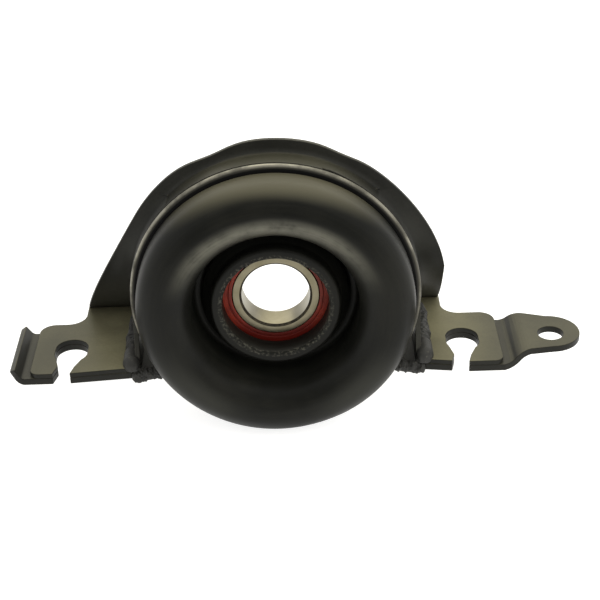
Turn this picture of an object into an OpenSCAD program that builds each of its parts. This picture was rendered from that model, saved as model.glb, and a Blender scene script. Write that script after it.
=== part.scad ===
// Driveshaft centre bearing: a sealed ball bearing hung in a rubber ring inside a
// two-piece pressed steel bracket. The shaft axis runs along Y, with its origin at
// the bearing's centre, +Z up and the rubber dome on the -Y side.

/* [Bearing] */
// Diameter of the bore that takes the shaft
bore_d = 30; // [29:0.5:31]
// Outside diameter of the bearing
bearing_od = 55; // [54:0.5:56]
// Width of the bearing along the shaft
bearing_w = 13; // [13:0.5:15]
// Diameter of each ball
ball_d = 9.525; // [8.5:0.025:9.6]
// Radial thickness of the inner race at its shoulder
inner_race_wall = 4.1; // [3.6:0.1:4.6]
// Radial thickness of the outer race at its shoulder
outer_race_wall = 3.2; // [2.6:0.1:3.6]
// Chamfer at both ends of the bore
bore_chamfer = 0.95; // [0.4:0.05:1.4]
// Thickness of the pressed cage sheet
cage_sheet = 0.5; // [0.4:0.05:0.6]
// Radial width of the cage
cage_w = 3.4; // [2.8:0.1:3.6]
// Depth of the seals below the bearing's faces
seal_recess = 0.25; // [0.15:0.05:0.4]

/* [Rubber cushion] */
// Reach of the dome's crest in front of the bearing's centre
dome_reach = 29.4; // [27:0.1:33]
// Radius of the dome's rolled section
dome_roll_r = 12; // [11:0.1:12.5]
// Step from the sleeve's outside in to the dome's widest point
dome_inset = 0.7; // [0.4:0.1:1.5]
// Thickness of the rubber wall
rubber_t = 5; // [4:0.1:5.5]
// Thickness of the rubber hub around the bearing
hub_t = 4.5; // [3.5:0.1:5]
// Inside diameter of the dust lip in front of the bearing
lip_bore = 46.4; // [44:0.1:48]
// Length of the dust lip in front of the bearing's face
lip_len = 10.25; // [8:0.05:12]
// Wall of the dust lip
lip_t = 5; // [4:0.1:5.5]
// Depth of the channel's floor in front of the bearing's centre
channel_floor = 3.5; // [2:0.1:4.5]

/* [Sleeve] */
// Outside diameter of the steel sleeve
sleeve_od = 122; // [120:0.5:126]
// Thickness of the sleeve
sleeve_t = 2; // [1.5:0.1:2.5]
// Front edge of the sleeve in front of the bearing's centre
sleeve_front = 8.5; // [8:0.1:10]
// Rear edge of the sleeve behind the bearing's centre
sleeve_rear = 15; // [13:0.5:17]
// Axial thickness of the sleeve's rolled front lip
sleeve_lip_t = 2.4; // [2:0.1:3]

/* [Upper bracket] */
// Thickness of the upper bracket's sheet
upper_sheet = 2.3; // [2:0.1:2.8]
// Depth of the feet's top faces below the shaft axis
foot_drop = 32; // [30:0.5:36]
// Distance between the two slots
slot_span = 177; // [174:0.5:186]
// Offset of the slots' midpoint along X
slot_shift = -5.15; // [-8:0.05:0]
// Width of each slot's eye
slot_w = 14.5; // [12:0.1:15.5]
// Straight length of each slot's eye
slot_len = 4.4; // [3:0.1:6]
// Place of each slot's eye along the shaft
slot_y = 7; // [5:0.1:9]
// Width of the slot's open neck
neck_w = 7.3; // [6:0.1:9]
// Lean of the slot's neck
neck_lean = 14; // [0:1:18]
// Distance from a slot's middle out to the foot's end
foot_end = 16.7; // [14:0.1:19]
// Front edge of the feet in front of the bearing's centre
foot_front = 14.4; // [13:0.1:17]
// Rear edge of the feet behind the bearing's centre
foot_rear = 28.4; // [26:0.1:31]
// Outer edge of the left foot's root
root_left = 90; // [84:0.5:92]
// Outer edge of the right foot's root
root_right = 76.5; // [73:0.5:80]
// Front face of the upright wing behind the bearing's centre
wing_y = 4; // [2:0.1:6]
// Radius of the wing's sweep back to the feet
wing_sweep = 95; // [92:1:120]
// Height where the wing's sweep starts
wing_bend = 45; // [42:0.5:48]
// Height of the wing's rim above the collar
wing_rim = 5.8; // [5:0.1:8]
// Depth of the two shallow dips in the wing's rim
wing_dip = 1.8; // [0.8:0.1:2.5]
// Outer edge of the right end of the wing
wing_right = 75.8; // [73:0.1:80]
// Bend radius between the collar and the wing
wing_bend_r = 2.4; // [2:0.1:4.5]

/* [Lower bracket] */
// Thickness of the lower bracket's plate
lower_plate = 3.2; // [2.6:0.1:4]
// Distance from the left slot's middle out to the hook's crease
hook_crease = 20; // [18:0.1:23]
// Length of the hook's upturned lip
hook_len = 5.3; // [4:0.1:7]
// Lean of the hook's lip from upright
hook_lean = 36; // [25:1:45]
// Inside radius of the hook's bend
hook_bend_r = 2.5; // [1.5:0.1:3.5]
// Rise of the right arm above the plate
arm_rise = 5; // [3.5:0.1:7]
// Length of the bend that lifts the arm
joggle_run = 12; // [10:0.1:14]
// Distance from the right slot's middle out to the arm's hole
arm_reach = 39.6; // [36:0.1:46]
// Diameter of the arm's hole
arm_hole_d = 11.4; // [9:0.1:13]
// Radius of the arm's round tip
arm_tip_r = 13.4; // [12:0.1:15]
// Width of the strap under the sleeve
strap_w = 19; // [14:0.5:20]

/* [Welds] */
// Leg length of the weld beads
weld_leg = 5.6; // [4:0.1:7]
// Number of ripples in a bead
weld_ripples = 11; // [7:1:14]

/* [Hidden] */
$fn = 96;
BALLS = 11;

BLACK_COAT = "#2b2a26";
RUBBER = "#3a3a35";
SLEEVE_STEEL = "#4a4840";
BRIGHT_STEEL = "#b9b2a4";
SEAL_RED = "#7a2018";
overlap = 1;
far = 300;

// Bearing
pitch_r = (bore_d + bearing_od) / 4;
ball_r = ball_d / 2;
race_play = 0.05;
pocket_play = 0.08;
seal_play = 0.15;
inner_shoulder_r = bore_d / 2 + inner_race_wall;
outer_shoulder_r = bearing_od / 2 - outer_race_wall;
race_edge = 0.6;
half_w = bearing_w / 2;
seal_in = ball_r + pocket_play + cage_sheet + 0.2;
seal_out = half_w - seal_recess;
seal_seat = 0.7;
seal_band_w = 1.5;
seal_groove = 0.3;
land_half = pitch_r * sin(180 / BALLS) - ball_r - pocket_play - cage_sheet;
rivet_head_r = 0.9 * land_half;
rivet_r = 0.6 * land_half;
rivet_head_h = 0.45;
rivet_play = 0.02;

// Rubber
sleeve_r = sleeve_od / 2;
dome_mid_r = sleeve_r - dome_inset - dome_roll_r;
dome_y = dome_roll_r - dome_reach;
dome_out_r = dome_mid_r + dome_roll_r;
dome_in_r = dome_mid_r - dome_roll_r;
bond_r = sleeve_r - sleeve_t;
mouth_gap = 1.3;
shoulder_gap = 0.7;
shoulder_round = 0.6;
hub_r = bearing_od / 2 + hub_t;
lip_in_r = lip_bore / 2;
lip_out_r = lip_in_r + lip_t;
lip_rim_y = -half_w - lip_len;
lip_round = 1.2;
hub_rear_lip = 2;
hub_rear_r = bearing_od / 2 - 2.5;
bond_rear_step = 2;
channel_fillet = 2;

// Upper bracket
collar_gap = 0.1;
collar_in = sleeve_r + collar_gap;
collar_out = collar_in + upper_sheet;
collar_front = -sleeve_front + sleeve_lip_t;
// Height below which the legs clear the sleeve's lip
lip_clear = -sqrt(pow(collar_out + collar_gap, 2) - pow(collar_in, 2));
foot_top = -foot_drop;
foot_base = foot_top - upper_sheet;
leg_front = -11.5;
slot_left_x = slot_shift - slot_span / 2;
slot_right_x = slot_shift + slot_span / 2;
rim_r = collar_out + wing_rim;
sweep_y = wing_y + wing_sweep;
root_fillet = 8;
root_run = 5;
weld_front = leg_front + 4.5;
weld_rear = foot_rear + 4.6;
foot_front_corner = 4;
foot_rear_corner = 7;

// Lower bracket
plate_top = foot_base;
plate_base = plate_top - lower_plate;
strap_in = collar_in;
strap_out = strap_in + lower_plate;
hook_x = slot_left_x - hook_crease;
arm_x = slot_right_x + arm_reach;
arm_top = plate_top + arm_rise;
arm_y = 5;
arm_hole_y = 3.1;
joggle_gap = 0.5;
joggle_start = slot_right_x + foot_end + joggle_gap;
arm_flare_rear = 3.4;
arm_flare_front = 1.4;
hook_corner = 9.5;
neck_run = 3;
plate_rear = 24.8;
strap_front = collar_front;
plate_inner = sqrt(strap_in * strap_in - plate_base * plate_base);
hook_end = hook_x - hook_len - lower_plate;

// A solid revolved about the shaft axis from a profile of radius and place along Y
module revolve() rotate([-90, 0, 0]) rotate_extrude() children();

// A profile drawn in X and Z, carried along Y
module along_y(from, to) translate([0, to, 0]) rotate([90, 0, 0]) linear_extrude(to - from) children();

// A profile drawn in Y and Z, carried along X
module along_x(from, to) translate([from, 0, 0]) rotate([90, 0, 90]) linear_extrude(to - from) children();

// A rectangle from one corner to the opposite one
module span(a, b) translate([min(a[0], b[0]), min(a[1], b[1])])
    square([abs(b[0] - a[0]), abs(b[1] - a[1])]);

// The piece between a square corner at the origin and a round of radius r,
// for the quarter that lies towards sx and sy
module corner(r, sx, sy) difference() {
    span([0, 0], [sx * r, sy * r]);
    translate([sx * r, sy * r]) circle(r);
}

// The space inside the collar and its legs
module collar_space(r) {
    circle(r);
    span([-r, -far], [r, 0]);
}

// Collar over the sleeve, running down into two upright legs
module collar_profile() difference() {
    intersection() {
        collar_space(collar_out);
        span([-far, foot_base], [far, far]);
    }
    collar_space(collar_in);
}

// Side view of the collar, from its front edge back to the wing
module collar_side() difference() {
    polygon([[collar_front, far], [collar_front, lip_clear], [leg_front, foot_base], [sweep_y, foot_base],
             [sweep_y, wing_bend], [wing_y + upper_sheet, wing_bend], [wing_y + upper_sheet, far]]);
    translate([sweep_y, wing_bend]) circle(wing_sweep - upper_sheet);
}

// Side view of the wing: upright at the top, swept back to the feet below
module wing_side() {
    span([wing_y, wing_bend], [wing_y + upper_sheet, far]);
    intersection() {
        difference() {
            translate([sweep_y, wing_bend]) circle(wing_sweep);
            translate([sweep_y, wing_bend]) circle(wing_sweep - upper_sheet);
        }
        span([wing_y, foot_base], [sweep_y, wing_bend]);
    }
}

// Radius of the wing's rim at an angle from +X: round, with two shallow dips,
// swelling to a lobe on the right and flaring down to the foot on the left
function wing_r(a) =
    let (lobe_from = 52, flare_from = 148.5, root_a = 180 + atan2(foot_drop, root_left),
         root_r = norm([root_left, foot_drop]), dip = function(at, w) exp(-pow((a - at) / w, 2)))
    rim_r - wing_dip * (dip(112.5, 9) + 0.6 * dip(63.5, 7.5))
        + (wing_right - rim_r) * pow(max(0, (lobe_from - a) / lobe_from), 1.7)
        + (root_r - rim_r) * pow(max(0, (a - flare_from) / (root_a - flare_from)), 2.2);

// Front view of the wing, from the right foot round to the left one
module wing_outline() {
    step = 2.5;
    polygon([[wing_right, foot_base],
             for (a = [0 : step : 197.5]) [min(wing_right, wing_r(a) * cos(a)), wing_r(a) * sin(a)],
             [-root_left, foot_base]]);
}

// Round inside the bend from the collar up to the wing, where the wing stands upright
module bend_round() intersection() {
    revolve() translate([collar_out, wing_y]) {
        corner(wing_bend_r, 1, -1);
        span([-upper_sheet / 2, -wing_bend_r], [0, upper_sheet / 2]);
        span([0, 0], [wing_bend_r, upper_sheet / 2]);
    }
    translate([-far / 2, -far / 2, wing_bend]) cube(far);
}

// Wedge-shaped slit between the collar's front edge and the sleeve's lip
module collar_slit() {
    slit_len = 17.6;
    slit_gap = 1.6;
    rotate([0, -62, 0]) along_x(sleeve_r - overlap, rim_r) polygon([
        [collar_front - overlap, -slit_len / 2], [collar_front - overlap, slit_len / 2],
        [collar_front + slit_gap, slit_len / 2], [collar_front, -slit_len / 2]]);
}

// Open keyhole slot: a long eye, a tapered throat and a leaning neck out to the front
module slot() {
    throat = slot_w / 2;
    circle(slot_w / 2);
    translate([0, -slot_len]) circle(slot_w / 2);
    span([-slot_w / 2, -slot_len], [slot_w / 2, 0]);
    polygon([[-slot_w / 2, -slot_len], [slot_w / 2, -slot_len],
             [neck_w / 2 - 1, -slot_len - slot_w / 2 - throat / 2],
             [-neck_w / 2 - 1, -slot_len - slot_w / 2 - throat / 2]]);
    translate([0, overlap - slot_len - slot_w / 2]) rotate(-neck_lean)
        span([-neck_w / 2, -far / 5], [neck_w / 2, overlap]);
}

module both_slots() for (x = [slot_left_x, slot_right_x]) translate([x, slot_y]) slot();

// Top view of one foot with its root, drawn for the +X side
module foot_outline(slot_x, root_x) {
    end_x = slot_x + foot_end;
    difference() {
        polygon([[collar_in, leg_front], [collar_in + root_run, leg_front], [slot_x, -foot_front],
                 [end_x, -foot_front], [end_x, foot_rear], [collar_in, foot_rear]]);
        translate([end_x, -foot_front]) corner(foot_front_corner, -1, 1);
        translate([end_x, foot_rear]) corner(foot_rear_corner, -1, -1);
    }
    span([collar_in, 0], [root_x, sweep_y]);
    translate([root_x, foot_rear]) corner(root_fillet, 1, 1);
}

module feet() translate([0, 0, foot_base]) linear_extrude(upper_sheet) {
    difference() {
        union() {
            foot_outline(slot_right_x, root_right);
            mirror([1, 0]) foot_outline(-slot_left_x, root_left);
        }
        both_slots();
    }
}

module upper_bracket() color(BLACK_COAT) difference() {
    union() {
        intersection() {
            along_y(-far / 5, far) collar_profile();
            along_x(-far, far) collar_side();
        }
        intersection() {
            along_x(-far, far) wing_side();
            along_y(-far / 5, far) difference() {
                wing_outline();
                collar_space(collar_in);
            }
        }
        bend_round();
        // The feet end where the wing's sheet comes down on them
        difference() {
            feet();
            along_x(-far, far) translate([sweep_y, wing_bend]) circle(wing_sweep - upper_sheet);
        }
    }
    collar_slit();
}

// Ring sector of the plate's thickness, for a bend about a centre
module bend_sector(centre, r, from, to) translate(centre) difference() {
    intersection() {
        circle(r + lower_plate / 2);
        polygon([[0, 0], 3 * r * [cos(from), sin(from)], 3 * r * [cos(to), sin(to)]]);
    }
    circle(r - lower_plate / 2);
}

// Left half of the lower bracket: the plate, a round bend and the leaning hook
module hook(from, to) {
    turn = 90 - hook_lean;
    setback = hook_bend_r * tan(turn / 2);
    bend = [hook_x + setback, plate_top + hook_bend_r];
    lean = [-sin(hook_lean), cos(hook_lean)];
    across = [-cos(hook_lean), -sin(hook_lean)];
    inside = bend + hook_bend_r * across;
    outside = inside + lower_plate * across;
    rise = (hook_len - setback) * lean;
    // The lip's root is pointed, so that it runs into the bend's wall
    root = (inside + outside) / 2 - overlap * lean;
    along_y(from, to) span([bend[0], plate_base], [-plate_inner, plate_top]);
    along_y(from, to) bend_sector(bend, hook_bend_r + lower_plate / 2, -90 - turn, -90);
    along_y(from, to) polygon([inside, inside + rise, outside + rise, outside, root]);
}

// Right half: the plate, two opposite bends and the raised arm
module raised_arm(from, to) {
    turn = 2 * atan2(arm_rise, joggle_run);
    r = joggle_run / 2 / sin(turn);
    middle = plate_top - lower_plate / 2;
    joggle_end = joggle_start + joggle_run;
    along_y(from, to) span([plate_inner, plate_base], [joggle_start, plate_top]);
    along_y(from, to) bend_sector([joggle_start, middle + r], r, -90, turn - 90);
    along_y(from, to) bend_sector([joggle_end, middle + arm_rise - r], r, 90, turn + 90);
    along_y(from, to) span([joggle_end, arm_top - lower_plate], [arm_x + arm_tip_r, arm_top]);
}

// Top view of the lower bracket, apart from the arm's round tip
module lower_outline() {
    strap_rear = strap_front + strap_w;
    neck_x = collar_in + neck_run;
    waist_x = joggle_start + joggle_run;
    difference() {
        polygon([[-plate_inner, strap_front], [-neck_x, leg_front], [slot_left_x, -foot_front],
                 [hook_end, -foot_front], [hook_end, plate_rear], [-neck_x, plate_rear],
                 [-plate_inner, strap_rear], [plate_inner, strap_rear], [neck_x, plate_rear],
                 [joggle_start, plate_rear], [waist_x, arm_y + arm_tip_r + arm_flare_rear],
                 [arm_x, arm_y + arm_tip_r], [arm_x, arm_y - arm_tip_r],
                 [waist_x, arm_y - arm_tip_r - arm_flare_front], [joggle_start, -foot_front],
                 [slot_right_x, -foot_front], [neck_x, leg_front], [plate_inner, strap_front]]);
        translate([hook_end, -foot_front]) corner(hook_corner, 1, 1);
    }
}

module lower_bracket() color(BLACK_COAT) difference() {
    intersection() {
        union() {
            hook(-far / 5, far / 5);
            raised_arm(-far / 5, far / 5);
            intersection() {
                rotate([90, 0, 0]) cylinder(r = strap_out, h = far / 2, center = true);
                translate([-far / 2, -far / 2, plate_top - far]) cube(far);
            }
        }
        union() {
            translate([0, 0, -far / 2]) linear_extrude(far) lower_outline();
            translate([arm_x, arm_y, -far / 2]) cylinder(r = arm_tip_r, h = far);
        }
    }
    rotate([90, 0, 0]) cylinder(r = strap_in, h = far, center = true);
    translate([0, collar_front, 0]) rotate([90, 0, 0]) cylinder(r = collar_out + collar_gap, h = far / 4);
    translate([0, 0, plate_base - overlap]) linear_extrude(lower_plate + 2 * overlap) both_slots();
    translate([arm_x, arm_hole_y, arm_top - lower_plate - overlap])
        cylinder(d = arm_hole_d, h = lower_plate + 2 * overlap);
}

// Fillet weld along the corner of a leg and a foot, drawn for the +X side
module weld_bead() {
    pitch = (weld_rear - weld_front) / (weld_ripples - 1);
    intersection() {
        for (i = [0 : weld_ripples - 1])
            translate([collar_out, weld_front + i * pitch, foot_top])
                sphere(weld_leg * (0.88 + 0.12 * sin(i * 137)));
        translate([collar_out, -far / 2, foot_top]) cube(far);
    }
}

module weld_bead_left() color(BLACK_COAT) mirror([1, 0, 0]) weld_bead();
module weld_bead_right() color(BLACK_COAT) weld_bead();

// Steel sleeve with its front edge rolled outwards
module outer_sleeve() color(SLEEVE_STEEL) revolve() {
    roll = sleeve_lip_t / 2;
    span([bond_r, -sleeve_front], [sleeve_r, sleeve_rear]);
    span([sleeve_r - overlap, -sleeve_front], [collar_out - roll, -sleeve_front + sleeve_lip_t]);
    translate([collar_out - roll, -sleeve_front + roll]) circle(roll);
}

// Section of the rubber: bonded band, dome, channel, hub and dust lip in one moulding
module rubber_section() {
    wall_in = dome_out_r - rubber_t;
    channel_wall = dome_in_r + rubber_t;
    floor_rear = rubber_t - channel_floor;
    shoulder_y = -sleeve_front - shoulder_gap;
    difference() {
        intersection() {
            translate([dome_mid_r, dome_y]) circle(dome_roll_r);
            span([0, dome_y - dome_roll_r], [far, dome_y]);
        }
        translate([dome_mid_r, dome_y]) circle(dome_roll_r - rubber_t);
    }
    polygon([[wall_in, dome_y], [dome_out_r, dome_y], [dome_out_r, shoulder_y - shoulder_round],
             [dome_out_r - shoulder_round, shoulder_y], [bond_r - mouth_gap, shoulder_y],
             [bond_r - mouth_gap, -sleeve_front + mouth_gap],
             [bond_r, -sleeve_front + 2 * mouth_gap], [bond_r, sleeve_rear - bond_rear_step],
             [bond_r - rubber_t / 2, sleeve_rear - bond_rear_step], [wall_in, -sleeve_front]]);
    span([dome_in_r, dome_y], [channel_wall, floor_rear]);
    span([bearing_od / 2, -channel_floor], [channel_wall, floor_rear]);
    translate([dome_in_r, -channel_floor]) corner(channel_fillet, -1, -1);
    translate([hub_r, -channel_floor]) corner(channel_fillet, 1, -1);
    span([bearing_od / 2, -half_w], [hub_r, half_w + hub_rear_lip]);
    span([hub_rear_r, half_w], [hub_r, half_w + hub_rear_lip]);
    polygon([[lip_in_r, -half_w], [lip_in_r, lip_rim_y + lip_round], [lip_in_r + lip_round, lip_rim_y],
             [lip_out_r - lip_round, lip_rim_y], [lip_out_r, lip_rim_y + lip_round],
             [lip_out_r, -half_w - hub_t], [hub_r, -half_w]]);
}

module rubber_cushion() color(RUBBER) revolve() rubber_section();

// Ring of rectangular section, with its ball groove cut by the ball's circle
module race_section(r_in, r_out, chamfer_at, chamfer) difference() {
    span([r_in, -half_w], [r_out, half_w]);
    translate([pitch_r, 0]) circle(ball_r + race_play);
    for (s = [-1, 1]) translate([chamfer_at, s * half_w]) rotate(45) square(chamfer * sqrt(2), center = true);
}

module bearing_inner_race() color(BRIGHT_STEEL) revolve()
    race_section(bore_d / 2, inner_shoulder_r, bore_d / 2, bore_chamfer);

// The outer race has a groove inside each end, where the seal snaps in
module bearing_outer_race() color(BRIGHT_STEEL) revolve() difference() {
    race_section(outer_shoulder_r, bearing_od / 2, bearing_od / 2, race_edge);
    for (s = [-1, 1]) span([outer_shoulder_r - overlap, s * seal_in],
                           [outer_shoulder_r + seal_seat, s * seal_out]);
    for (s = [-1, 1]) span([outer_shoulder_r - overlap, s * seal_out],
                           [outer_shoulder_r + seal_seat - seal_groove, s * (half_w + overlap)]);
}

// Ring seal with a raised inner band, drawn for the front face
module seal() revolve() {
    lip_r = inner_shoulder_r + seal_play;
    skin = (seal_out - seal_in) / 3;
    span([lip_r, -seal_out], [lip_r + seal_band_w, -seal_in]);
    span([lip_r, -seal_out + skin], [outer_shoulder_r + seal_seat, -seal_in]);
    span([lip_r + 1.5 * seal_band_w, -seal_out], [outer_shoulder_r + seal_seat, -seal_in]);
}

module front_seal() color(SEAL_RED) seal();
module rear_seal() color(SEAL_RED) mirror([0, 1, 0]) seal();

// Each copy turned to a ball's place, or half a step further round
module round_the_balls(shift = 0) for (i = [0 : BALLS - 1])
    rotate([0, 360 * (i + shift) / BALLS, 0]) children();

// Half-round section of a cage pocket
module pocket_section() difference() {
    circle(ball_r + pocket_play + cage_sheet);
    circle(ball_r + pocket_play);
    span([0, -pitch_r], [pitch_r, pitch_r]);
}

// Flat land between two pockets, with its sides halfway into their walls
module land_outline() {
    step = 180 / BALLS;
    reach = 0.97 * cage_w / 2;
    side = function(r) (r * sin(step) - ball_r - pocket_play - cage_sheet / 2) / cos(step);
    ends = [pitch_r - reach, pitch_r + reach];
    difference() {
        polygon([[ends[0], -side(ends[0])], [ends[1], -side(ends[1])],
                 [ends[1], side(ends[1])], [ends[0], side(ends[0])]]);
        translate([pitch_r, 0]) circle(rivet_r + rivet_play);
    }
}

// Half of the pressed cage, on the front side: round pockets joined by flat lands
module cage_half() {
    round_the_balls() along_x(pitch_r - cage_w / 2, pitch_r + cage_w / 2) pocket_section();
    round_the_balls(0.5) along_y(-cage_sheet, 0) land_outline();
}

module cage_front_half() color(BRIGHT_STEEL) cage_half();
module cage_rear_half() color(BRIGHT_STEEL) mirror([0, 1, 0]) cage_half();

module cage_rivets() color(BRIGHT_STEEL) round_the_balls(0.5) translate([pitch_r, 0, 0]) rotate([90, 0, 0]) {
    cylinder(r = rivet_r, h = 2 * cage_sheet, center = true);
    for (s = [0, 1]) mirror([0, 0, s]) translate([0, 0, cage_sheet])
        cylinder(r = rivet_head_r, h = rivet_head_h);
}

module ball(i) color(BRIGHT_STEEL)
    rotate([0, 360 * i / BALLS, 0]) translate([pitch_r, 0, 0]) sphere(d = ball_d);

upper_bracket();
lower_bracket();
weld_bead_left();
weld_bead_right();
outer_sleeve();
rubber_cushion();
bearing_outer_race();
bearing_inner_race();
cage_front_half();
cage_rear_half();
cage_rivets();
front_seal();
rear_seal();
ball(0);  // ball_01
ball(1);  // ball_02
ball(2);  // ball_03
ball(3);  // ball_04
ball(4);  // ball_05
ball(5);  // ball_06
ball(6);  // ball_07
ball(7);  // ball_08
ball(8);  // ball_09
ball(9);  // ball_10
ball(10);  // ball_11
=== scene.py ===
"""Looks of a driveshaft centre bearing: black pressed bracket, rubber cushion, sealed ball bearing.

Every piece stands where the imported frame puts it. The shaft axis runs along Y, +Z is up and the rubber
dome faces -Y. Lengths are metres, written as millimetres times MM.
"""

from __future__ import annotations

import logging
import math
from abc import ABC, abstractmethod
from dataclasses import dataclass
from enum import Enum
from typing import Any, ClassVar

import bmesh
import bpy
import numpy as np
from mathutils import Matrix, Vector

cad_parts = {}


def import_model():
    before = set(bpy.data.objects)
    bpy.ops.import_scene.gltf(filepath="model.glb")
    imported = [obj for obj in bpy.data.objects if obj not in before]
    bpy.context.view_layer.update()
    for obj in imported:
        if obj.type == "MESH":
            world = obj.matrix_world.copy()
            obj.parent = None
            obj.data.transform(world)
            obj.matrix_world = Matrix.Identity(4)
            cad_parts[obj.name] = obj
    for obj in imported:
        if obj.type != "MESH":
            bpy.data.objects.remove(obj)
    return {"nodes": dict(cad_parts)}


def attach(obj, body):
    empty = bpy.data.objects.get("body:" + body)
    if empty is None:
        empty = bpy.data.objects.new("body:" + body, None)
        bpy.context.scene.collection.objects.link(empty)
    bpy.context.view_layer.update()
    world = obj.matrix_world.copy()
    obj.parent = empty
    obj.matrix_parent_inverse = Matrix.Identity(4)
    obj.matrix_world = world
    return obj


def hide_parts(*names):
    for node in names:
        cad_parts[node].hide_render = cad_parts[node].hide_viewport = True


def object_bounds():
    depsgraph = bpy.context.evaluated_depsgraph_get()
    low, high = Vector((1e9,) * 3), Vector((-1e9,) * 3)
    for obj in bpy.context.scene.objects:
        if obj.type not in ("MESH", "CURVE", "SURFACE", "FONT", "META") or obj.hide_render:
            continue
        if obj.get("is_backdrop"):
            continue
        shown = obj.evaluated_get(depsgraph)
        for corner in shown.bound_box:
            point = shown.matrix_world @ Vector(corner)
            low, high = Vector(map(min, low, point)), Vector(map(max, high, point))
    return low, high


LOG = logging.getLogger("centre_bearing")
MM = 0.001
SAME_POINT = 1e-7
MERGE_REACH = 1e-3 * MM
WHITE = (1.0, 1.0, 1.0, 1.0)
Colour = tuple[float, float, float]
Place = tuple[float, float, float]
Corner = tuple[float, float, float]
Span = tuple[float, float]


class Slot(Enum):
    """The record's material slots."""

    BLACK_COAT = "black_coat"
    WELD = "weld"
    SLEEVE = "sleeve_steel"
    RUBBER = "black_rubber"
    BEARING = "bearing_steel"
    CAGE = "cage_steel"
    SEAL = "red_seal"


class Body(Enum):
    """The bodies that new pieces ride on."""

    HOUSING = "housing"
    INNER_RACE = "inner_race"


class Side(Enum):
    """A side of the bracket, as the sign of its X."""

    LEFT = -1
    RIGHT = 1


class Wire:
    """A shader socket in Python arithmetic: each operation on it adds a Math node."""

    def __init__(self, graph: Graph, socket: bpy.types.NodeSocket) -> None:
        """Keep the socket and the graph that it belongs to."""
        self.graph = graph
        self.socket = socket

    def math(self, operation: str, *values: Any) -> Wire:
        """Return the Math node of that operation on the values."""
        return self.graph.node("ShaderNodeMath", {"operation": operation}, dict(enumerate(values)))

    def __add__(self, other: Any) -> Wire:
        """Return self + other."""
        return self.math("ADD", self, other)

    def __radd__(self, other: Any) -> Wire:
        """Return other + self."""
        return self.math("ADD", other, self)

    def __sub__(self, other: Any) -> Wire:
        """Return self - other."""
        return self.math("SUBTRACT", self, other)

    def __rsub__(self, other: Any) -> Wire:
        """Return other - self."""
        return self.math("SUBTRACT", other, self)

    def __mul__(self, other: Any) -> Wire:
        """Return self * other."""
        return self.math("MULTIPLY", self, other)

    def __rmul__(self, other: Any) -> Wire:
        """Return other * self."""
        return self.math("MULTIPLY", other, self)

    def __truediv__(self, other: Any) -> Wire:
        """Return self / other."""
        return self.math("DIVIDE", self, other)

    def __rtruediv__(self, other: Any) -> Wire:
        """Return other / self."""
        return self.math("DIVIDE", other, self)

    def root(self) -> Wire:
        """Return the square root."""
        return self.math("SQRT", self)

    def size(self) -> Wire:
        """Return the value without its sign."""
        return self.math("ABSOLUTE", self)

    def at_most(self, other: Any) -> Wire:
        """Return the smaller of self and other."""
        return self.math("MINIMUM", self, other)

    def between(self, low: float, high: float) -> Wire:
        """Return a smooth step that is 0 at low and 1 at high, whichever of them is larger."""
        settings = {"interpolation_type": "SMOOTHSTEP"}
        inputs = {"Value": self, "From Min": low, "From Max": high}
        if high < low:
            inputs = {"Value": self, "From Min": high, "From Max": low, "To Min": 1.0, "To Max": 0.0}
        return self.graph.node("ShaderNodeMapRange", settings, inputs)


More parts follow.
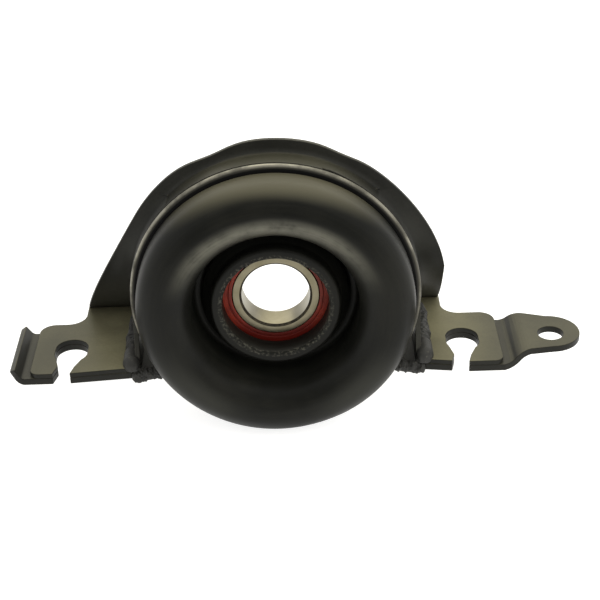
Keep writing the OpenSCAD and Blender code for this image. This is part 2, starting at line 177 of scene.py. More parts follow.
class Graph:
    """The node graph of one material or world."""

    radius_weight: ClassVar[float] = 1.7

    def __init__(self, tree: bpy.types.NodeTree) -> None:
        """Start from an emptied node tree."""
        self.tree = tree
        tree.nodes.clear()

    @classmethod
    def in_material(cls, name: str) -> tuple[bpy.types.Material, Graph]:
        """Return a new material of that name, and its empty graph."""
        made = bpy.data.materials.new(name)
        made.use_nodes = True
        return made, cls(made.node_tree)

    def node(self, kind: str, settings: dict[str, Any] | None = None,
             inputs: dict[Any, Any] | None = None, output: Any = 0) -> Wire | None:
        """Add any node.

        Args:
            kind: The node's type.
            settings: Properties to set first, such as an operation.
            inputs: Values or wires, by a socket's name or place.
            output: The output to hand on, by name or place.

        Returns:
            The chosen output, or None for a node that has none.
        """
        made = self.tree.nodes.new(kind)
        for key, value in (settings or {}).items():
            setattr(made, key, value)
        for key, value in (inputs or {}).items():
            socket = made.inputs[key]
            if isinstance(value, Wire):
                self.tree.links.new(value.socket, socket)
            else:
                socket.default_value = value
        return Wire(self, made.outputs[output]) if len(made.outputs) else None

    def place(self) -> Wire:
        """Return the Object coordinates, which are metres in the part's frame."""
        return self.node("ShaderNodeTexCoord", output="Object")

    def axes(self) -> tuple[Wire, Wire, Wire]:
        """Return X, Y and Z of the place as separate values."""
        split = self.node("ShaderNodeSeparateXYZ", inputs={0: self.place()}).socket.node
        return tuple(Wire(self, split.outputs[i]) for i in range(3))

    def shaft_radius(self) -> Wire:
        """Return the distance from the shaft axis."""
        x, _, z = self.axes()
        return (x * x + z * z).root()

    def facing_up(self) -> Wire:
        """Return how far the surface faces up: its normal's Z."""
        normal = self.node("ShaderNodeNewGeometry", output="Normal")
        return self.node("ShaderNodeSeparateXYZ", inputs={0: normal}, output="Z")

    def noise(self, vector: Wire, scale: float, detail: float = 3.0, roughness: float = 0.55) -> Wire:
        """Return noise from 0 to 1, with scale in repeats per metre."""
        inputs = {"Vector": vector, "Scale": scale, "Detail": detail, "Roughness": roughness}
        return self.node("ShaderNodeTexNoise", inputs=inputs)

    def streaks(self, across: float, around: float, detail: float = 3.0) -> Wire:
        """Return noise drawn out round the shaft.

        Args:
            across: Streaks per metre across the circles.
            around: Changes per radian along them.
            detail: Octaves of finer noise.

        Returns:
            Noise from 0 to 1 with no seam, read on the unit circle and on the weighted radius plus Y.
        """
        x, y, z = self.axes()
        radius = (x * x + z * z).root()
        along = (radius * self.radius_weight + y) * across
        inputs = {0: x / radius * around, 1: along, 2: z / radius * around}
        return self.noise(self.node("ShaderNodeCombineXYZ", inputs=inputs), 1.0, detail)

    def mix(self, low: Any, high: Any, factor: Wire) -> Wire:
        """Return the colour between low and high."""
        rgba = [(*c, 1.0) if isinstance(c, tuple) else c for c in (low, high)]
        settings = {"data_type": "RGBA"}
        return self.node("ShaderNodeMix", settings, {0: factor, 6: rgba[0], 7: rgba[1]}, 2)

    def bump(self, height: Wire, depth: float) -> Wire:
        """Return a normal for a relief of that depth in metres."""
        return self.node("ShaderNodeBump", inputs={"Height": height, "Distance": depth, "Strength": 1.0})


@dataclass(frozen=True)
class Finish(ABC):
    """One surface finish."""

    slot: ClassVar[Slot]

    def material(self) -> bpy.types.Material:
        """Return this finish's material, made on first use."""
        name = type(self).__name__
        found = bpy.data.materials.get(name)
        if found is not None:
            return found
        made, graph = Graph.in_material(name)
        shader = graph.node("ShaderNodeBsdfPrincipled", inputs=self.sockets(graph))
        graph.node("ShaderNodeOutputMaterial", inputs={"Surface": shader})
        return made

    @abstractmethod
    def sockets(self, graph: Graph) -> dict[str, Any]:
        """Return what feeds the Principled shader's sockets."""


@dataclass(frozen=True)
class BlackCoat(Finish):
    """Satin black paint on pressed sheet, with olive dust and painted top light on what faces up, and faint
    orange peel.

    Each span runs from where a mask starts to where it is full.
    """

    slot: ClassVar[Slot] = Slot.BLACK_COAT
    paint: Colour = (0.0125, 0.0126, 0.0108)
    haze: Colour = (0.0190, 0.0189, 0.0158)
    haze_span: Span = (0.36, 0.66)
    cloud_scale: float = 38.0
    grain_scale: float = 900.0
    grain_share: float = 0.25
    # Olive dust, made lighter so that it also paints the light falling on up-facing paint.
    dust_and_top_light: Colour = (0.166, 0.155, 0.094)
    dust_light_facing: Span = (0.68, 0.97)
    dust_light_z: Span = (45 * MM, -10 * MM)
    # These spans shape the painted top light: none close to the sleeve, with painted shade further out and in
    # the trough.
    open_x: Span = (61.92 * MM, 64.5 * MM)
    outer_x: Span = (72 * MM, 102 * MM)
    trough_z: Span = (-33.2 * MM, -34.1 * MM)
    high_dust_light: float = 0.15
    open_dust_light: float = 0.95
    even_dust_light: float = 0.70
    shelter_shade: float = 0.12
    outer_shade: float = 0.68
    trough_shade: float = 0.72
    # A lighter colour laid on a band low on the bracket, from z 8 mm down to about -28 mm.
    film: Colour = (0.040, 0.0395, 0.033)
    film_z: Span = (8 * MM, -20 * MM)
    film_end_z: Span = (-30 * MM, -27 * MM)
    film_share: float = 0.75
    gloss: float = 0.40
    dust_light_dulls: float = 0.12
    grain_dulls: float = 0.05
    specular: float = 0.15
    peel_scale: float = 420.0
    peel_depth: float = 0.012 * MM

    def sockets(self, graph: Graph) -> dict[str, Any]:
        """Return clouds of haze, a lighter band low down, dust with painted top light on what faces up, and a
        peel bump.
        """
        place = graph.place()
        clouds = graph.noise(place, self.cloud_scale, detail=4.0)
        grain = graph.noise(place, self.grain_scale, detail=2.0)
        uneven = (clouds * (1 - self.grain_share) + grain * self.grain_share).between(*self.haze_span)
        x, _, z = graph.axes()
        away = x.size()
        # Painted shade: less painted top light further from the legs, in the trough, and less overall.
        near_root_light = 1.0 - away.between(*self.outer_x) * self.outer_shade
        kept = self.open_dust_light - z.between(*self.trough_z) * self.trough_shade
        caught = away.between(*self.open_x) * near_root_light * kept - self.shelter_shade
        reached = self.high_dust_light + z.between(*self.dust_light_z) * caught
        patches = self.even_dust_light + uneven * (1 - self.even_dust_light)
        # Dust and painted top light on what faces up.
        dust_and_top_lit = graph.facing_up().between(*self.dust_light_facing) * patches * reached
        low_band = z.between(*self.film_z) * z.between(*self.film_end_z)
        coat = graph.mix(graph.mix(self.paint, self.haze, uneven), self.film, low_band * self.film_share)
        return {
            "Base Color": graph.mix(coat, self.dust_and_top_light, dust_and_top_lit),
            "Roughness": self.gloss + dust_and_top_lit * self.dust_light_dulls + grain * self.grain_dulls,
            "Specular IOR Level": self.specular,
            "Normal": graph.bump(graph.noise(place, self.peel_scale), self.peel_depth),
        }


@dataclass(frozen=True)
class WeldScale(Finish):
    """Black paint over a rough weld, with burnt and bare flecks."""

    slot: ClassVar[Slot] = Slot.WELD
    paint: Colour = (0.026, 0.0258, 0.024)
    fleck: Colour = (0.080, 0.077, 0.064)
    fleck_span: Span = (0.56, 0.74)
    gloss: float = 0.42
    grit_dulls: float = 0.25
    specular: float = 0.28
    grit_scale: float = 620.0
    grit_depth: float = 0.16 * MM

    def sockets(self, graph: Graph) -> dict[str, Any]:
        """Return flecked paint with a gritty bump."""
        grit = graph.noise(graph.place(), self.grit_scale, detail=5.0, roughness=0.65)
        return {
            "Base Color": graph.mix(self.paint, self.fleck, grit.between(*self.fleck_span)),
            "Roughness": self.gloss + grit * self.grit_dulls,
            "Specular IOR Level": self.specular,
            "Normal": graph.bump(grit, self.grit_depth),
        }


@dataclass(frozen=True)
class SleeveSteel(Finish):
    """Blackened sleeve, rubbed bright in places along its rolled lip, partly as a painted highlight, with
    painted shadow in the gap to the rubber.
    """

    slot: ClassVar[Slot] = Slot.SLEEVE
    black: Colour = (0.028, 0.027, 0.023)
    # Bare metal from real wear, which also stands in for the lip's highlight.
    bare: Colour = (0.32, 0.305, 0.25)
    # Painted shadow in the gap between the lip's front face and the rubber.
    gap_shadow: Colour = (0.004, 0.004, 0.004)
    rim_r: Span = (61.9 * MM, 63.0 * MM)
    gap_r: Span = (61.9 * MM, 61.2 * MM)
    gap_y: Span = (0.0, -5.0 * MM)
    rub_scale: float = 85.0
    rub_span: Span = (0.40, 0.62)
    rub_and_highlight_all: float = 0.25
    rub_patches: float = 0.6
    bare_metal: float = 0.8
    gloss: float = 0.46
    rub_shines: float = 0.16
    scratch_dulls: float = 0.08
    gap_shadow_dulls: float = 0.3
    specular: float = 0.16
    scratch_scale: float = 900.0
    scratch_turn: float = 3.0
    scratch_depth: float = 0.01 * MM

    def sockets(self, graph: Graph) -> dict[str, Any]:
        """Return black steel with patchy bare metal round the lip's rim, partly a painted highlight, and
        painted shadow inside it.
        """
        _, y, _ = graph.axes()
        radius = graph.shaft_radius()
        # Mask of the painted shadow inside the lip.
        gap = radius.between(*self.gap_r) * y.between(*self.gap_y)
        rubbed = graph.noise(graph.place(), self.rub_scale, detail=4.0).between(*self.rub_span)
        # Worn bare metal round the rim, partly a painted highlight on the rolled lip.
        worn_and_highlight = radius.between(*self.rim_r) * (self.rub_and_highlight_all + rubbed * self.rub_patches)
        scratches = graph.streaks(self.scratch_scale, self.scratch_turn)
        dulled = self.gloss - worn_and_highlight * self.rub_shines + scratches * self.scratch_dulls
        return {
            "Base Color": graph.mix(graph.mix(self.black, self.bare, worn_and_highlight), self.gap_shadow, gap),
            "Metallic": worn_and_highlight * self.bare_metal,
            "Roughness": dulled + gap * self.gap_shadow_dulls,
            "Specular IOR Level": self.specular,
            "Normal": graph.bump(scratches, self.scratch_depth),
        }


@dataclass(frozen=True)
class MouldedRubber(Finish):
    """Black moulded rubber with a dusty bloom, fine streaks round the shaft and flash on the lip's rim."""

    slot: ClassVar[Slot] = Slot.RUBBER
    black: Colour = (0.0056, 0.0058, 0.0049)
    bloom: Colour = (0.0104, 0.0104, 0.0084)
    bloom_span: Span = (0.36, 0.66)
    cloud_scale: float = 30.0
    streak_scale: float = 420.0
    streak_turn: float = 2.6
    streak_share: float = 0.3
    # Olive dust, which is also a painted highlight on the dome's top band.
    dust_and_top_light: Colour = (0.064, 0.060, 0.040)
    dust_light_facing: Span = (0.55, 0.97)
    dust_light_r: Span = (43.5 * MM, 50.0 * MM)
    # Painted light: a lighter grey on the lower inner sides, which face up.
    grey: Colour = (0.030, 0.0305, 0.026)
    grey_x: Span = (9.6 * MM, 32 * MM)
    grey_z: Span = (-10.2 * MM, -34 * MM)
    grey_r: Span = (41.325 * MM, 50.0 * MM)
    grey_even: float = 0.6
    # Painted reflection of the floor on the upper inner roll, broken up into scuff marks.
    scuff_reflection: Colour = (0.150, 0.147, 0.120)
    roll_r: float = 43.5 * MM
    roll_reach: float = 6.4 * MM
    scuff_reflection_y: Span = (-21.0 * MM, -23.1 * MM)
    scuff_reflection_z: Span = (8.7 * MM, 43.5 * MM)
    scuff_reflection_span: Span = (0.05, 0.60)
    mark_scale: float = 900.0
    mark_turn: float = 1.5
    mark_share: float = 0.35
    smear_scale: float = 160.0
    flash: Colour = (0.058, 0.056, 0.045)
    flash_r: float = 24.0 * MM
    flash_y: float = -16.2 * MM
    flash_reach: float = 1.5 * MM
    flash_edge: Span = (1.0, 0.2)
    flash_span: Span = (0.46, 0.66)
    flash_scale: float = 900.0
    gloss: float = 0.40
    bloom_dulls: float = 0.07
    scuff_reflection_dulls: float = 0.1
    specular: float = 0.13
    grain_scale: float = 1500.0
    grain_depth: float = 0.006 * MM

    def sockets(self, graph: Graph) -> dict[str, Any]:
        """Return bloom in clouds and streaks, painted light on the lower sides, a painted reflection in scuff
        marks on the inner roll and specks of flash.
        """
        place = graph.place()
        x, y, z = graph.axes()
        radius = graph.shaft_radius()
        streaks = graph.streaks(self.streak_scale, self.streak_turn) * self.streak_share
        clouds = graph.noise(place, self.cloud_scale, detail=4.0)
        bloom = (streaks + clouds * (1 - self.streak_share)).between(*self.bloom_span)
        inner = (radius - self.roll_r).size().between(self.roll_reach, 0.0) * y.between(*self.scuff_reflection_y)
        drawn = graph.streaks(self.mark_scale, self.mark_turn, detail=4.0) * self.mark_share
        marks = drawn + graph.noise(place, self.smear_scale) * (1 - self.mark_share)
        # Painted reflection on the upper inner roll, in scuff marks.
        scuffed_reflection = inner * z.between(*self.scuff_reflection_z) * marks.between(*self.scuff_reflection_span)
        off_r = (radius - self.flash_r) / self.flash_reach
        off_y = (y - self.flash_y) / self.flash_reach
        near_rim = (off_r * off_r + off_y * off_y).between(*self.flash_edge)
        specks = near_rim * graph.noise(place, self.flash_scale).between(*self.flash_span)
        # Dust with a painted highlight on what faces up round the dome.
        dust_and_top_lit = graph.facing_up().between(*self.dust_light_facing) * radius.between(*self.dust_light_r)
        # Painted light on the lower inner sides of the dome.
        lower = z.between(*self.grey_z) * x.size().between(*self.grey_x) * radius.between(*self.grey_r)
        lower_lit = lower * (self.grey_even + clouds * (1 - self.grey_even))
        skin = graph.mix(graph.mix(self.black, self.bloom, bloom), self.grey, lower_lit)
        coloured = graph.mix(graph.mix(skin, self.dust_and_top_light, dust_and_top_lit), self.scuff_reflection, scuffed_reflection)
        fine = graph.noise(place, self.grain_scale, detail=2.0) * (1 - self.streak_share)
        return {
            "Base Color": graph.mix(coloured, self.flash, specks),
            "Roughness": self.gloss + bloom * self.bloom_dulls + scuffed_reflection * self.scuff_reflection_dulls,
            "Specular IOR Level": self.specular,
            "Normal": graph.bump(fine + streaks, self.grain_depth),
        }


@dataclass(frozen=True)
class GroundSteel(Finish):
    """Ground bearing steel with fine grinding marks round the shaft and a thin film of oil."""

    slot: ClassVar[Slot] = Slot.BEARING
    bright: Colour = (0.212, 0.192, 0.136)
    oiled: Colour = (0.155, 0.139, 0.088)
    film_scale: float = 120.0
    film_span: Span = (0.35, 0.7)
    gloss: float = 0.27
    mark_scale: float = 5200.0
    mark_turn: float = 1.2
    mark_share: float = 0.3
    mark_dulls: float = 0.1
    mark_depth: float = 0.004 * MM

    def sockets(self, graph: Graph) -> dict[str, Any]:
        """Return grinding marks in colour, roughness and bump."""
        marks = graph.streaks(self.mark_scale, self.mark_turn, detail=4.0)
        film = graph.noise(graph.place(), self.film_scale).between(*self.film_span)
        shade = film * (1 - self.mark_share) + marks * self.mark_share
        return {
            "Base Color": graph.mix(self.bright, self.oiled, shade),
            "Metallic": 1.0,
            "Roughness": self.gloss + marks * self.mark_dulls,
            "Normal": graph.bump(marks, self.mark_depth),
        }


@dataclass(frozen=True)
class DarkScale(Finish):
    """Unground heat-treatment scale left on the race's bore chamfers."""

    slot: ClassVar[Slot] = Slot.BEARING
    scale: Colour = (0.018, 0.016, 0.012)
    brown: Colour = (0.05, 0.042, 0.026)
    mottle_scale: float = 500.0
    mottle_span: Span = (0.4, 0.7)
    mottle_dulls: float = 0.15
    gloss: float = 0.5
    specular: float = 0.2

    def sockets(self, graph: Graph) -> dict[str, Any]:
        """Return mottled dark scale."""
        mottle = graph.noise(graph.place(), self.mottle_scale, detail=4.0)
        return {
            "Base Color": graph.mix(self.scale, self.brown, mottle.between(*self.mottle_span)),
            "Roughness": self.gloss + mottle * self.mottle_dulls,
            "Specular IOR Level": self.specular,
        }


@dataclass(frozen=True)
class SealRubber(Finish):
    """Deep red seal rubber with faint moulding rings."""

    slot: ClassVar[Slot] = Slot.SEAL
    deep: Colour = (0.060, 0.0036, 0.0018)
    lit: Colour = (0.225, 0.026, 0.013)
    lit_span: Span = (0.30, 0.66)
    # Painted shade: the seal darkens towards the bottom, as in the lip's shadow.
    lip_shade_z: Span = (-20 * MM, -8 * MM)
    cloud_scale: float = 140.0
    gloss: float = 0.40
    specular: float = 0.3
    ring_scale: float = 1600.0
    ring_turn: float = 1.4
    ring_share: float = 0.5
    ring_dulls: float = 0.12
    ring_depth: float = 0.006 * MM

    def sockets(self, graph: Graph) -> dict[str, Any]:
        """Return rings and clouds between two reds, darker at the bottom with painted shade from the lip."""
        rings = graph.streaks(self.ring_scale, self.ring_turn)
        clouds = graph.noise(graph.place(), self.cloud_scale)
        _, _, z = graph.axes()
        mixed = rings * self.ring_share + clouds * (1 - self.ring_share)
        shade = mixed.between(*self.lit_span) * z.between(*self.lip_shade_z)
        return {
            "Base Color": graph.mix(self.deep, self.lit, shade),
            "Roughness": self.gloss + rings * self.ring_dulls,
            "Specular IOR Level": self.specular,
            "Normal": graph.bump(rings, self.ring_depth),
        }


@dataclass(frozen=True)
class CageSteel(Finish):
    """Soft pressed steel of the ball cage, with a light drawn texture."""

    slot: ClassVar[Slot] = Slot.CAGE
    light: Colour = (0.50, 0.49, 0.46)
    dull: Colour = (0.33, 0.32, 0.29)
    dull_span: Span = (0.35, 0.7)
    gloss: float = 0.34
    drawn_scale: float = 2600.0
    drawn_turn: float = 4.0
    drawn_dulls: float = 0.12
    drawn_depth: float = 0.006 * MM

    def sockets(self, graph: Graph) -> dict[str, Any]:
        """Return a drawn texture in colour and bump."""
        drawn = graph.streaks(self.drawn_scale, self.drawn_turn)
        return {
            "Base Color": graph.mix(self.light, self.dull, drawn.between(*self.dull_span)),
            "Metallic": 1.0,
            "Roughness": self.gloss + drawn * self.drawn_dulls,
            "Normal": graph.bump(drawn, self.drawn_depth),
        }


@dataclass(frozen=True)
class LappedSteel(Finish):
    """Lapped ball steel: nearly a mirror, with faint clouds of grease."""

    slot: ClassVar[Slot] = Slot.BEARING
    mirror: Colour = (0.68, 0.67, 0.65)
    grease: Colour = (0.50, 0.48, 0.40)
    grease_scale: float = 260.0
    grease_span: Span = (0.4, 0.7)
    gloss: float = 0.08
    grease_dulls: float = 0.16

    def sockets(self, graph: Graph) -> dict[str, Any]:
        """Return clouds of grease in colour and roughness."""
        film = graph.noise(graph.place(), self.grease_scale).between(*self.grease_span)
        return {
            "Base Color": graph.mix(self.mirror, self.grease, film),
            "Metallic": 1.0,
            "Roughness": self.gloss + film * self.grease_dulls,
        }


def rounded_outline(corners: list[Corner], steps: int = 7, side_share: float = 0.48) -> np.ndarray:
    """Round a closed outline's corners.

    Each corner of radius r becomes the arc that touches both of its sides: with a and b the unit vectors to
    its neighbours and h half the angle between them, the arc touches r / tan(h) from the corner, and its
    centre lies r / sin(h) along the bisector. The arc's points turn evenly from one touch to the other.

    Args:
        corners: Rows of radius from the shaft, place along Y, and the corner's rounding, in millimetres.
        steps: Points on each arc.
        side_share: The most of a side that an arc may take.

    Returns:
        The outline as an array of points, in metres, with no point twice.
    """
    table = np.array(corners, float)
    point, rounding = table[:, :2] * MM, table[:, 2] * MM
    to_last = np.roll(point, 1, axis=0) - point
    to_next = np.roll(point, -1, axis=0) - point
    reach = side_share * np.minimum(np.linalg.norm(to_last, axis=1), np.linalg.norm(to_next, axis=1))
    a = to_last / np.linalg.norm(to_last, axis=1, keepdims=True)
    b = to_next / np.linalg.norm(to_next, axis=1, keepdims=True)
    straight = 0.999999
    half = np.arccos(np.clip((a * b).sum(axis=1), -straight, straight)) / 2
    touch = np.minimum(rounding / np.tan(half), reach)
    bisector = (a + b) / np.linalg.norm(a + b, axis=1, keepdims=True)
    centre = point + bisector * (touch / np.cos(half))[:, None]
    start = point + a * touch[:, None] - centre
    end = point + b * touch[:, None] - centre
    turn = np.pi - 2 * half
    share = np.linspace(0, 1, steps)[None, :]
    first = np.sin((1 - share) * turn[:, None]) / np.sin(turn)[:, None]
    last = np.sin(share * turn[:, None]) / np.sin(turn)[:, None]
    arc = centre[:, None] + first[..., None] * start[:, None] + last[..., None] * end[:, None]
    line = np.where((rounding > 0)[:, None, None], arc, point[:, None]).reshape(-1, 2)
    apart = np.linalg.norm(line - np.roll(line, 1, axis=0), axis=1)
    return line[apart > SAME_POINT]


def arc_corners(centre: Span, radius: float, start: float, end: float, count: int) -> list[Corner]:
    """Return points on an arc as corners with no rounding, from start to end in degrees."""
    angle = np.radians(np.linspace(start, end, count))
    arc = zip(centre[0] + radius * np.cos(angle), centre[1] + radius * np.sin(angle))
    return [(r, y, 0.0) for r, y in arc]


def revolved(outline: np.ndarray, segments: int) -> np.ndarray:
    """Carry a closed outline round the shaft.

    A point of radius r and place y becomes (r cos t, y, r sin t) at each angle t. The outline is first turned
    to run anticlockwise, so that the faces point outwards.

    Args:
        outline: Points of radius and Y.
        segments: Steps round the shaft.

    Returns:
        An array of segments by outline points by 3.
    """
    r, y = outline.T
    area = (r * np.roll(y, -1) - np.roll(r, -1) * y).sum()
    r, y = (r, y) if area > 0 else (r[::-1], y[::-1])
    turn = np.linspace(0, 2 * np.pi, segments, endpoint=False)[:, None]
    return np.stack([r * np.cos(turn), np.broadcast_to(y, (segments, len(y))), r * np.sin(turn)], axis=-1)


def round_shaft(points: np.ndarray) -> tuple[np.ndarray, np.ndarray]:
    """Return each point's distance from the shaft axis, and its angle round it."""
    return np.hypot(points[..., 0], points[..., 2]), np.arctan2(points[..., 2], points[..., 0])


def swollen(points: np.ndarray, swell: np.ndarray) -> np.ndarray:
    """Return the points moved out from the shaft by swell: X and Z times 1 + swell / radius, with Y kept."""
    radius, _ = round_shaft(points)
    return points * (1 + swell / radius)[..., None] ** np.array([1, 0, 1])


def tube_grid(rows: int, columns: int) -> tuple[np.ndarray, np.ndarray]:
    """Return a tube's two parameters on a grid: the share of its length, and the angle round it."""
    run = np.linspace(0, 1, rows)
    around = np.linspace(-np.pi, np.pi, columns, endpoint=False)
    return tuple(np.meshgrid(run, around, indexing="ij"))


def lumps(u: np.ndarray, v: np.ndarray, count: int, pitch: float, seed: int,
          spread: Span = (0.5, 1.6)) -> np.ndarray:
    """Return smooth unevenness from -1 to 1: the mean of many sine waves of random heading and phase.

    Args:
        u: First coordinate of each point.
        v: Second coordinate of each point.
        count: How many waves are summed.
        pitch: Mean waves per unit length.
        seed: Seed of the random headings.
        spread: The least and the most of a wave's own pitch, as shares of the mean.

    Returns:
        An array of the shape of u.
    """
    draw = np.random.default_rng(seed)
    heading, phase = draw.uniform(0, 2 * np.pi, (2, count))
    rate = 2 * np.pi * pitch * draw.uniform(*spread, count)
    wave = np.sin(u[..., None] * rate * np.cos(heading) + v[..., None] * rate * np.sin(heading) + phase)
    return wave.mean(axis=-1) * math.sqrt(2 * count) / 2


def grid_object(name: str, points: np.ndarray, sharp_deg: float, slots: np.ndarray | None = None,
                closed: bool = True) -> bpy.types.Object:
    """Make an object from a grid of points that closes on itself both ways, or in its second direction alone.

    Args:
        name: The piece's name.
        points: An array of rows by columns by 3.
        sharp_deg: Edges that turn more than this stay sharp.
        slots: A material number for each column of faces, or None for one material.
        closed: Whether the last row joins the first.

    Returns:
        The object, linked to the scene.
    """
    rows, columns = points.shape[:2]
    index = np.arange(rows * columns).reshape(rows, columns)
    index = np.vstack([index, index[:1]]) if closed else index
    index = np.hstack([index, index[:, :1]])
    quads = np.stack([index[:-1, :-1], index[:-1, 1:], index[1:, 1:], index[1:, :-1]], axis=-1)
    mesh = bpy.data.meshes.new(name)
    mesh.from_pydata(points.reshape(-1, 3).tolist(), [], quads.reshape(-1, 4).tolist())
    if slots is not None:
        mesh.polygons.foreach_set("material_index", np.tile(slots, len(quads)).astype(np.int32))
    return finished_object(name, mesh, sharp_deg)


def finished_object(name: str, mesh: bpy.types.Mesh, sharp_deg: float) -> bpy.types.Object:
    """Merge a mesh's doubles, shade it smooth but for its sharp edges, and link it as an object."""
    shape = bmesh.new()
    shape.from_mesh(mesh)
    bmesh.ops.remove_doubles(shape, verts=shape.verts, dist=MERGE_REACH)
    shape.to_mesh(mesh)
    shape.free()
    mesh.shade_smooth()
    mesh.set_sharp_from_angle(angle=math.radians(sharp_deg))
    piece = bpy.data.objects.new(name, mesh)
    bpy.context.scene.collection.objects.link(piece)
    return piece


def seat(piece: bpy.types.Object, body: Body, node: str | None, *finishes: Finish) -> None:
    """Give a piece its finishes, let it ride on a body and let it stand for a node.

    Args:
        piece: The new piece.
        body: The body that it moves with.
        node: The CAD node that it replaces, or None for an added piece.
        finishes: One finish for each material number of its faces.
    """
    for finish in finishes:
        piece.data.materials.append(finish.material())
    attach(piece, body.value)
    if node is not None:
        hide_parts(node)
    LOG.info("%s: %d faces, stands for %s", piece.name, len(piece.data.polygons), node)


@dataclass
class RubberCushion:
    """One moulding: band bonded in the sleeve, rolled dome, channel, hub and dust lip. Sizes in mm."""

    bond_r: float = 59.0
    band_rear: float = 13.0
    band_front: float = -5.9
    mouth_r: float = 57.7
    mouth_rear: float = -7.2
    shoulder_y: float = -9.2
    roll_r: float = 12.0
    roll_mid_r: float = 48.3
    roll_y: float = -17.4
    wall: float = 5.0
    channel_y: float = -3.5
    hub_r: float = 32.0
    seat_r: float = 27.5
    seat_half: float = 6.5
    rear_lip_r: float = 25.0
    rear_y: float = 8.5
    lip_in_r: float = 23.2
    lip_out_r: float = 28.2
    lip_y: float = -16.75
    lip_long: float = 5.75
    free_reach: float = 6.0
    uneven_height: float = 0.12
    uneven_rate: float = 150.0
    segments: int = 288

    def section(self) -> np.ndarray:
        """Return the closed section, round the dome, through the channel, the lip and back along the inside.

        Each corner is its radius, its place along Y and its rounding.
        """
        roll, mid = (self.roll_mid_r, self.roll_y), self.roll_mid_r
        dome_in, dome_out = mid - self.roll_r, mid + self.roll_r
        hollow_in, hollow_out = dome_in + self.wall, dome_out - self.wall
        floor_rear = self.channel_y + self.wall
        front = [(self.bond_r, self.band_rear, 0.4), (self.bond_r, self.band_front, 0.5),
                 (self.mouth_r, self.mouth_rear, 0.8), (self.mouth_r, self.shoulder_y, 0.4),
                 (dome_out, self.shoulder_y, 0.8)]
        crest = arc_corners(roll, self.roll_r, 0, -180, count=49)
        channel = [(dome_in, self.channel_y, 2.1), (self.hub_r, self.channel_y, 2.1),
                   (self.hub_r, -self.seat_half, 0.8), (self.lip_out_r, self.lip_y + self.lip_long, 2.0),
                   (self.lip_out_r, self.lip_y, 1.5), (self.lip_in_r, self.lip_y, 1.1)]
        seat_line = [(self.lip_in_r, -self.seat_half, 0.3), (self.seat_r, -self.seat_half, 0.2),
                     (self.seat_r, self.seat_half, 0.2), (self.rear_lip_r, self.seat_half, 0.3)]
        rear = [(self.rear_lip_r, self.rear_y, 0.8), (self.hub_r, self.rear_y, 1.0),
                (self.hub_r, floor_rear, 1.5), (hollow_in, floor_rear, 2.0)]
        hollow = arc_corners(roll, self.roll_r - self.wall, -180, 0, count=25)
        back = [(hollow_out, self.shoulder_y, 2.0), (self.bond_r - self.wall / 2, self.band_rear, 0.8)]
        return rounded_outline(front + crest + channel + seat_line + rear + hollow + back)

    def build(self) -> None:
        """Make the cushion, with the slight unevenness of moulded rubber on its free surfaces."""
        points = revolved(self.section(), self.segments)
        radius, turn = round_shaft(points)
        free = np.clip((self.shoulder_y * MM - points[..., 1]) / (self.free_reach * MM), 0, 1)
        waves = lumps(np.cos(turn) + self.uneven_rate * radius, np.sin(turn), count=24, pitch=0.9, seed=5)
        points = swollen(points, self.uneven_height * MM * free * waves)
        piece = grid_object("rubber_ring", points, sharp_deg=50)
        seat(piece, Body.HOUSING, "rubber_cushion", MouldedRubber())


@dataclass
class SteelSleeve:
    """Pressed sleeve round the rubber, with its front edge rolled outwards. Sizes in mm."""

    bond_r: float = 59.0
    outer_r: float = 61.0
    lip_r: float = 63.4
    front: float = -8.5
    rear: float = 15.0
    lip_t: float = 2.4
    wave_depth: float = 0.12
    wave_rate: float = 3.0
    wave_back: float = 0.5
    segments: int = 320

    def build(self) -> None:
        """Make the sleeve, its rolled lip a little wavy as spinning leaves it."""
        lip_rear = self.front + self.lip_t
        corners = [(self.bond_r, self.front, 0.9), (self.lip_r, self.front, 1.15),
                   (self.lip_r, lip_rear, 1.15), (self.outer_r, lip_rear, 0.3),
                   (self.outer_r, self.rear, 0.5), (self.bond_r, self.rear, 0.5)]
        points = revolved(rounded_outline(corners), self.segments)
        radius, turn = round_shaft(points)
        on_lip = np.clip((radius - self.outer_r * MM) / ((self.lip_r - self.outer_r) * MM), 0, 1)
        waves = lumps(self.wave_rate * np.cos(turn), self.wave_rate * np.sin(turn),
                      count=20, pitch=0.6, seed=3)
        drawn_in = self.wave_depth * MM * on_lip * (1 + waves) / 2
        points[..., 1] += self.wave_back * drawn_in
        piece = grid_object("steel_sleeve", swollen(points, -drawn_in), sharp_deg=45)
        seat(piece, Body.HOUSING, "outer_sleeve", SleeveSteel())


